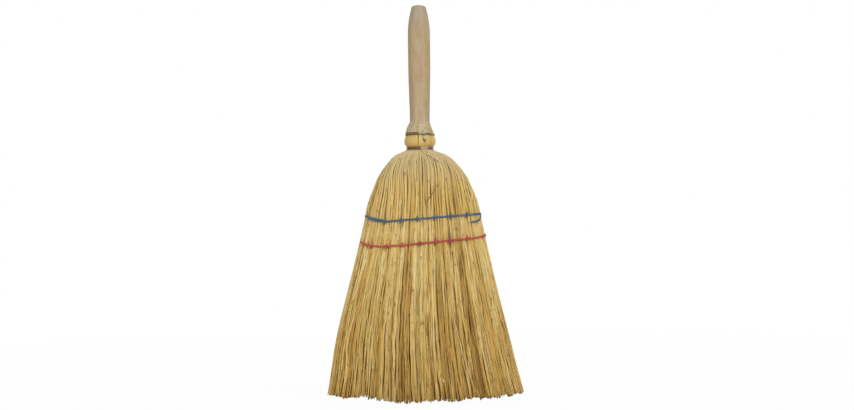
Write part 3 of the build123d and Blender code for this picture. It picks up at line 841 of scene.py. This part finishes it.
def dress_half(half, side):
    """The cover bunches and the inner bunches of the front or the back."""
    kinds = [
        ("cover", cover_groups(side), COVER_FINISH, "cover_straw"),
        ("core", core_groups(side), INNER_FINISH, "inner_straw"),
    ]
    for number in range(BUNCHES):
        low, high = -1 + 2 * number / BUNCHES, -1 + 2 * (number + 1) / BUNCHES
        for kind, groups, finish, slot in kinds:
            batches = []
            for group, sides in groups:
                pick = (group["home"] >= low) & (group["home"] < high)
                if pick.any():
                    batches.append(batch_of(group, pick, sides))
            piece = straw_piece(f"{half}_{kind}_straw_{number + 1}", batches, finish)
            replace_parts(piece, f"{half}_{kind}_{number + 1}")


for half, side in [("front", -1), ("back", 1)]:
    dress_half(half, side)


# --- Neck ---
# Heights and radii of the bound stalks between the wires, with the groove that each wire presses.
NECK_HEIGHTS = [260.4, 261.0, 263.5, 264.2, 266.2, 268.9, 271.6, 273.6, 274.9, 275.3, 278.2]
NECK_RADII = [13.4, 13.1, 13.1, 13.9, 15.6, 16.2, 15.85, 15.15, 14.5, 14.2, 14.2]
NECK_UNDER_NAIL = 15.5
DENT_DEPTH, DENT_WIDTH, DENT_HEIGHT, DENT_BELOW_NAIL = 1.1, 1.5, 2.3, 1.6

BOUND_STALKS, BOUND_SIDES, BOUND_RINGS = 24, 16, 26
BOUND_FOOT, BOUND_TOP = 260.6, 278.4
BOUND_HALF_THICKNESS = 0.7

# Radius of each ring of shaved stalks and how many it holds.
SKIRT_RINGS = [(10.9, 34), (12.3, 40), (13.75, 46)]
SHAVED_SIDES, SHAVED_RINGS = 10, 4
SHAVED_FOOT = 276.4
SKIRT_EDGE = SKIRT_RADIUS + 0.15
GROOVE_TOP, GROOVE_SLOPE = 278.3, 0.8
LOPSIDED_BY, LOPSIDED_AT, LOPSIDED_WITHIN = 0.8, 283, 3.5


def nail_dent(turn, height):
    """How far the stalks are pushed in under the nail's head."""
    sideways = math.radians(turn - NAIL_TURN) * NECK_UNDER_NAIL
    below = height - (NAIL_HEIGHT - DENT_BELOW_NAIL)
    return DENT_DEPTH * math.exp(-((sideways / DENT_WIDTH) ** 2) - (below / DENT_HEIGHT) ** 2)


def stalk_work():
    """Empty work whose points are to carry a shade and a hue."""
    work = bmesh.new()
    for label in ("shade", "hue"):
        work.verts.layers.float.new(label)
    return work


def upright_bar(work, sides, cuts, shade, hue):
    """The points of a new closed round bar, 1 long and 2 across, with rings along it."""
    already = len(work.verts)
    made = bmesh.ops.create_cone(work, cap_ends=True, segments=sides, radius1=1, radius2=1, depth=1)
    edges = {edge for vert in made["verts"] for edge in vert.link_edges}
    long = [edge for edge in edges if abs(edge.verts[0].co.z - edge.verts[1].co.z) > 0.5]
    bmesh.ops.subdivide_edges(work, edges=long, cuts=cuts)
    work.verts.ensure_lookup_table()
    bar = work.verts[already:]
    for label, value in (("shade", shade), ("hue", hue)):
        layer = work.verts.layers.float[label]
        for vert in bar:
            vert[layer] = value
    return bar


def bound_stalks():
    """Broad stalks, flattened side by side round the peg, that bulge between the two wires."""
    shades, hues = clump_shades(BOUND_STALKS) * 0.5 + 0.26, chance.random(BOUND_STALKS)
    turns = (np.arange(BOUND_STALKS) + even(-0.2, 0.2, BOUND_STALKS)) * 360 / BOUND_STALKS
    work = stalk_work()
    for middle, shade, hue in zip(turns, shades, hues):
        wide = 360 / BOUND_STALKS * (1.17 + 0.1 * chance.random())
        twist = chance.normal(0, 1.2)
        for vert in upright_bar(work, BOUND_SIDES, BOUND_RINGS, shade, hue):
            share = vert.co.z + 0.5
            height = BOUND_FOOT + (BOUND_TOP - BOUND_FOOT) * share
            turn = middle + twist * (share - 0.5) + wide / 2 * vert.co.x
            radius = float(np.interp(height, NECK_HEIGHTS, NECK_RADII))
            radius -= nail_dent((turn + 180) % 360 - 180, height)
            vert.co = in_frame(on_neck(radius + BOUND_HALF_THICKNESS * (vert.co.y - 1), turn, height))
    finish_piece(work, "bound_stalks", BOUND_FINISH)


def skirt_height(radius):
    """Height at which the shaved stalks have narrowed to a radius."""
    share = (SKIRT_RADIUS - radius) / (SKIRT_RADIUS - STALK_TOP_RADIUS)
    return SKIRT_FOOT + (HANDLE_ROOT - SKIRT_FOOT) * share


def skirt_place(local, share):
    """A point of a shaved stalk, by its place in the plan and how far it is up the stalk. It is held in by the upper
    wire's groove, cut along the cone, and pushed over to the left at half height."""
    reach = math.hypot(local.x, local.y)
    out = min(reach, SKIRT_EDGE)
    height = SHAVED_FOOT + (skirt_height(out) - SHAVED_FOOT) * share
    freed = min(1, max(0, (height - GROOVE_TOP) / GROOVE_SLOPE))
    held = GROOVE_RADIUS + (SKIRT_EDGE - GROOVE_RADIUS) * freed
    factor = min(out, held) / reach
    lopsided = LOPSIDED_BY * math.exp(-(((height - LOPSIDED_AT) / LOPSIDED_WITHIN) ** 2))
    return Vector((local.x * factor - lopsided, local.y * factor, height))


def shaved_stalks():
    """The stalk ends above the upper wire, packed in rings and cut off along a cone."""
    work = stalk_work()
    for ring, (radius, count) in enumerate(SKIRT_RINGS):
        for number in range(count):
            turn = (number + 0.5 * ring + chance.uniform(-0.2, 0.2)) * 360 / count
            girth = chance.uniform(0.98, 1.12)
            off = chance.uniform(-0.1, 0.1)
            shade, hue = chance.uniform(0.42, 0.62), chance.random()
            outward, sideways = on_neck(1, turn, 0), on_neck(1, turn + 90, 0)
            for vert in upright_bar(work, SHAVED_SIDES, SHAVED_RINGS, shade, hue):
                local = outward * (radius + off + girth * vert.co.y) + sideways * (girth * vert.co.x)
                vert.co = in_frame(skirt_place(local, vert.co.z + 0.5))
    finish_piece(work, "shaved_stalks", SHAVED_FINISH)


bound_stalks()
shaved_stalks()


# --- Twine ---
# The stops of a stitch: side, how far the twine is lifted, its height from the row and how far it is drawn in.
# Each stitch comes up through the straw above the row, and goes down over the band and back through below it.
UP_THROUGH = [(1, TWINE_OVER, 1.2, 0.0), (1, 0.0, 1.9, 3.0), (-1, 0.0, 2.0, 3.5)]
DOWN_THROUGH = [
    (-1, TWINE_OVER, 1.3, 0.0),
    (-1, TWINE_OVER, -1.3, 0.0),
    (-1, 0.0, -2.0, 3.5),
    (1, 0.0, -1.9, 3.0),
    (1, TWINE_OVER, -1.2, 0.0),
]
EDGE_TURN = 0.955  # where the twine leaves the face to go round an edge
EDGE_HEIGHT_AT = 0.99
EDGE_DRAWN = 1.2
EDGE_STOPS = (1.15, 0.45, -0.45, -1.15)

TWINE_STEP = 0.6
TWINE_SIDES = 6
TWINE_STRANDS, TWINE_TWIST = 3, 5.4
TWINE_STRAND_RADIUS, TWINE_STRAND_APART = 0.54, 0.47
CROWN_FROM, CROWN_OVER = 0.35, 0.55

WIRE_SIDES = 8
WIRE_STEP = 0.5
WIRE_TURN_STEP = 6


def row_point(row, across, side, lift=0.0, rise=0.0, inward=0.0):
    """A point of the twine's middle line on the front (-1) or back (1) of a row."""
    half_width, offset, half_thickness = shape_at(row["drop"])
    share = edge_share(across)
    away = Vector(
        (
            math.copysign((EDGE_CUT * abs(across)) ** (EDGE_POWER - 1), across) / half_width,
            side * share ** (EDGE_POWER - 1) / half_thickness,
            0,
        )
    ).normalized()
    foot = Vector((offset + half_width * across, side * half_thickness * share, row_height(row, across) + rise))
    return foot + away * (TWINE_RADIUS + TWINE_CLEAR + lift - inward)


def round_edge(row, hand, from_side, rises):
    """Points round the right (1) or left (-1) edge of the head, from the front (-1) or back (1) to the other."""
    half_width, offset, half_thickness = shape_at(row["drop"])
    blunt = half_thickness * edge_share(1.0)
    level = row_height(row, hand * EDGE_HEIGHT_AT)
    points = [row_point(row, hand * EDGE_TURN, from_side, rise=rises[0])]
    for share, rise in zip(EDGE_STOPS, rises[1:-1]):
        points.append(Vector((offset + hand * (half_width - EDGE_DRAWN), from_side * blunt * share, level + rise)))
    points.append(row_point(row, hand * EDGE_TURN, -from_side, rise=rises[-1]))
    return points


def twine_route(row, doubled, tail):
    """Along the front, round the edge, along the back and round to the front again above the start, then the
    stitches and the tail."""
    stitches = list(row["stitches"])
    front = [a for a in (-0.8,) if a < stitches[0] - 0.06] + stitches + [0.84] * (stitches[-1] < 0.78)
    route = [row_point(row, a, -1) for a in [-0.93, *front]]
    route += round_edge(row, 1, -1, [0] * 6)
    route += [row_point(row, a, 1) for a in reversed(front)]
    route += round_edge(row, -1, 1, [doubled * share for share in (0, 0.2, 0.45, 0.7, 0.9, 1)])
    route += [row_point(row, a, -1, 0.3, doubled) for a in front[:1] if a < stitches[0]]
    for number, place in enumerate(stitches):
        stops = UP_THROUGH + DOWN_THROUGH if number else DOWN_THROUGH
        route += [row_point(row, place, *stop) for stop in stops]
    return route + tail


def middle_line(route, between):
    """Points along one smooth curve that follows the route."""
    curve = bpy.data.curves.new("route", "CURVE")
    curve.dimensions = "3D"
    curve.resolution_u = between
    spline = curve.splines.new("NURBS")
    spline.points.add(len(route) - 1)
    spline.points.foreach_set("co", [c for point in route for c in (*point, 1.0)])
    spline.order_u = 3
    spline.use_endpoint_u = True
    mesh = mesh_of(curve)
    places = np.array([v.co for v in mesh.vertices])
    bpy.data.meshes.remove(mesh)
    return places


def evenly(places, step):
    """The same line with points a step apart."""
    reached = np.r_[0, np.cumsum(np.linalg.norm(np.diff(places, axis=0), axis=1))]
    at = np.arange(0, reached[-1], step)
    return np.stack([np.interp(at, reached, places[:, k]) for k in range(3)], 1), at


def from_ends(at, over):
    """Each place along a line by how far it is from the nearer end, as a share of over."""
    return np.minimum(at, at[-1] - at) / over


def twine(name, node, route, finish):
    """Three strands twisted round each other along the route."""
    places, at = evenly(middle_line(route, 12), TWINE_STEP)
    along = np.gradient(places, axis=0)
    along /= np.linalg.norm(along, axis=1)[:, None]
    normal = np.zeros_like(places)
    first = np.cross(along[0], (0, 0, 1.0))
    normal[0] = first / np.linalg.norm(first)
    for k in range(1, len(places)):
        moved = normal[k - 1] - along[k] * np.dot(normal[k - 1], along[k])
        normal[k] = moved / np.linalg.norm(moved)
    other = np.cross(along, normal)
    apart = (TWINE_STRAND_APART * np.clip(from_ends(at, 1.5), 0.3, 1))[:, None]
    lines = []
    for strand in range(TWINE_STRANDS):
        angle = 2 * np.pi * (at / TWINE_TWIST + strand / TWINE_STRANDS)
        lines.append(places + apart * (normal * np.cos(angle)[:, None] + other * np.sin(angle)[:, None]))
    radii = [TWINE_STRAND_RADIUS * np.clip(from_ends(at, 0.6), 0, 1) ** 0.5] * TWINE_STRANDS
    mesh = tubes(np.array(lines), np.array(radii), TWINE_SIDES)
    middle = np.repeat(np.stack([in_frame(places)] * TWINE_STRANDS), TWINE_SIDES, axis=1).reshape(-1, 3)
    co = np.zeros(len(mesh.vertices) * 3)
    mesh.vertices.foreach_get("co", co)
    # How far each point lies out towards its strand's crown, for the painted shade in the grooves.
    away = np.linalg.norm(co.reshape(-1, 3) - middle, axis=1) / MM
    mark_points(mesh, "crown", np.clip((away - CROWN_FROM) / CROWN_OVER, 0, 1))
    lay_map(mesh, TWINE_STRANDS, len(places), TWINE_SIDES)
    wound_piece(mesh, name, node, finish)


def wound_piece(mesh, name, node, finish):
    """Closes the ends of wire or twine and puts it in its node's place."""
    work = bmesh.new()
    work.from_mesh(mesh)
    bpy.data.meshes.remove(mesh)
    bmesh.ops.remove_doubles(work, verts=work.verts, dist=SAME_PLACE)
    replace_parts(finish_piece(work, name, finish), node)


BLUE_TAIL = [
    row_point(BLUE_ROW, 0.86, 1, TWINE_OVER, -1.5),
    *round_edge(BLUE_ROW, 1, 1, [-1.7, -1.6, -1.8, -2.4, -4.0, -6.2]),
    row_point(BLUE_ROW, 0.92, -1, 0, -7.3),
    row_point(BLUE_ROW, 0.86, -1, 0, -7.7),
    row_point(BLUE_ROW, 0.80, -1, 0, -8.0),
]
RED_TAIL = [
    row_point(RED_ROW, 0.86, 1, TWINE_OVER, -1.8),
    *round_edge(RED_ROW, 1, 1, [-1.9, -1.7, -1.4, -1.0, -0.6, -0.4]),
    row_point(RED_ROW, 0.92, -1, 0.8, -1.0),
]
twine("blue_twine", "blue_stitching", twine_route(BLUE_ROW, 1.6, BLUE_TAIL), BLUE_FINISH)
twine("red_twine", "red_stitching", twine_route(RED_ROW, 0.9, RED_TAIL), RED_FINISH)

# --- Upper wire ---
# Degrees round the neck from the front, distance from the axis and height. It starts at the nail, sinks between the
# stalks left of it at each pass, and ends over the nail.
UPPER_LAY = [
    (13, 15.9, 275.3), (20, 16.0, 276.7), (28, 15.2, 277.7), (38, 14.8, 277.5),
    (60, 14.8, 276.9), (180, 14.8, 277.0), (270, 14.8, 277.5), (320, 14.8, 278.1),
    (346, 14.8, 278.1), (356, 13.8, 277.8), (370, 13.8, 277.2), (384, 14.8, 276.6),
    (420, 14.8, 275.8), (540, 14.8, 275.5), (630, 14.8, 275.9), (690, 14.8, 276.5),
    (707, 14.8, 276.5), (716, 13.8, 276.3), (727, 14.4, 276.2), (735, 16.1, 276.3),
    (741, 16.3, 275.9), (745, 16.0, 275.0),
]


def upper_wire():
    """Bare wire wound round the neck."""
    turns, radii, heights = np.array(UPPER_LAY).T
    at = np.linspace(turns[0], turns[-1], int((turns[-1] - turns[0]) / WIRE_TURN_STEP))
    laid = zip(np.interp(at, turns, radii), at, np.interp(at, turns, heights))
    places, reached = evenly(middle_line([on_neck(*stop) for stop in laid], 4), WIRE_STEP)
    closing = WIRE_RADIUS * np.clip(from_ends(reached, 0.4), 0, 1) ** 0.5
    mesh = tubes(places[None], closing[None], WIRE_SIDES)
    lay_map(mesh, 1, len(places), WIRE_SIDES)
    wound_piece(mesh, "upper_binding", "upper_wire", WIRE_FINISH)


upper_wire()

# --- Straws that lie loose on the face ---
# Points as distance from the axis and drop, then thickest radius, shade, hue and how far the straw is lifted off the
# others. The last two lie half sunk among them.
LOOSE = [
    ([(1.2, -0.5), (6.0, 2.2), (13.0, 5.4), (19.5, 9.6), (24.0, 13.6)], 0.62, 1.1, 0.4, 0.25),
    ([(16.0, 35.0), (14.6, 39.5), (10.5, 45.5), (5.8, 52.0), (4.0, 54.5)], 0.42, -0.3, 0.5, 0.25),
    ([(33.0, 173.0), (38.5, 196.0), (46.0, 222.0), (55.0, 249.0)], 0.42, 0.95, 0.5, 0.25),
    ([(0.2, -0.8), (0.3, 5.0), (0.4, 15.0), (0.5, 28.0), (0.9, 42.0), (1.2, 55.0)], 0.8, 0.62, 0.5, -0.9),
    ([(2.2, -0.8), (2.8, 5.0), (3.6, 15.0), (4.4, 28.0), (5.2, 42.0), (6.0, 55.0)], 0.7, 0.5, 0.5, -0.9),
]
LOOSE_STEP = 2.0
LOOSE_TAPER = 8


def on_face(x, drop, lift):
    """A point on the front at a distance from the axis, lifted off the straw."""
    half_width, offset, half_thickness = (float(value) for value in shape_at(drop))
    across = min(1.0, abs((x - offset) / half_width))
    round_share = math.sqrt(max(0.0, 1 - across**2))
    flat_share = float(edge_share(across))
    flat = float(settled(np.array(drop), FLAT_FROM))
    depth = half_thickness * (round_share + (flat_share - round_share) * flat)
    return Vector((x, -depth - lift, NECK_FOOT - drop))


def loose_straws():
    batches = []
    for route, radius, shade, hue, lift in LOOSE:
        points = [on_face(x, drop, radius + lift * (0 < k < len(route) - 1)) for k, (x, drop) in enumerate(route)]
        places, reached = evenly(middle_line(points, 6), LOOSE_STEP)
        closing = radius * np.clip(from_ends(reached, LOOSE_TAPER), 0, 1) ** 0.4
        tones = dict(shade=np.array([shade]), hue=np.array([hue]), sunk=np.zeros((1, len(places))))
        batches.append(dict(places=places[None], radii=closing[None], sides=STALK_SIDES, **tones))
    straw_piece("loose_straws", batches, COVER_FINISH)


loose_straws()


# --- Handle, lower wire and nail keep their CAD shapes ---
for node, finish in [
    ("handle", HANDLE_FINISH),
    ("lower_wire", WIRE_FINISH),
    ("binding_nail", NAIL_FINISH),
]:
    solid = frame["nodes"][node]
    for slot in solid.material_slots:
        slot.material = finish


# --- Floor, background and lamps ---
WHITE = (1, 1, 1, 1)
FLOOR_GREY = (0.8, 0.8, 0.8, 1)
FLOOR_RADIUS, FLOOR_SIDES = 1.3, 96
FLOOR_SEEN_WHITE = 0.97  # the rest shows the shadow
AMBIENT = 0.3
SEEN_BY = ("Is Camera Ray", "Is Glossy Ray", "Is Transmission Ray")

# Place, target, size and power.
LAMPS = {
    "key": ((0.9, -1.7, 1.3), (0, 0, 0.2), 0.9, 22),
    "fill": ((-1.3, -1.5, 0.7), (0, 0, 0.2), 1.2, 7),
    "back": ((0.2, 1.6, 1.2), (0, 0, 0.25), 1.0, 14),
}


def seen_as_background(nodes, shader, white, share):
    """The camera, mirrors and glass see more of plain white there."""
    camera, glossy, through = [nodes.add("ShaderNodeLightPath", {}, {}, ray) for ray in SEEN_BY]
    seen = camera.maths("MAXIMUM", camera.maths("MAXIMUM", camera, glossy), through)
    return nodes.add("ShaderNodeMixShader", {}, {0: seen * share, 1: shader, 2: white})


def add_floor():
    work = bmesh.new()
    bmesh.ops.create_circle(work, cap_ends=True, segments=FLOOR_SIDES, radius=FLOOR_RADIUS)
    mesh = bpy.data.meshes.new("floor")
    work.to_mesh(mesh)
    work.free()
    floor = in_scene("floor", mesh)
    material = bpy.data.materials.new("pale floor")
    nodes = Nodes(material)
    matt = nodes.add("ShaderNodeBsdfDiffuse", {}, {"Color": FLOOR_GREY})
    glow = nodes.add("ShaderNodeEmission", {}, {"Color": WHITE})
    nodes.add("ShaderNodeOutputMaterial", {}, {0: seen_as_background(nodes, matt, glow, FLOOR_SEEN_WHITE)})
    mesh.materials.append(material)


def add_world():
    world = bpy.data.worlds.new("studio")
    bpy.context.scene.world = world
    nodes = Nodes(world)
    ambient = nodes.add("ShaderNodeBackground", {}, {"Color": WHITE, "Strength": AMBIENT})
    white = nodes.add("ShaderNodeBackground", {}, {"Color": WHITE, "Strength": 1.0})
    nodes.add("ShaderNodeOutputWorld", {}, {0: seen_as_background(nodes, ambient, white, 1.0)})


def add_lamp(name, place, target, size, power):
    light = bpy.data.lights.new(name, "AREA")
    light.shape = "DISK"
    light.size = size
    light.energy = power
    aim = (Vector(target) - Vector(place)).to_track_quat("-Z", "Y")
    in_scene(name, light).matrix_world = Matrix.Translation(place) @ aim.to_matrix().to_4x4()


add_floor()
add_world()
for name, settings in LAMPS.items():
    add_lamp(name, *settings)
bpy.context.scene.view_settings.view_transform = "Standard"
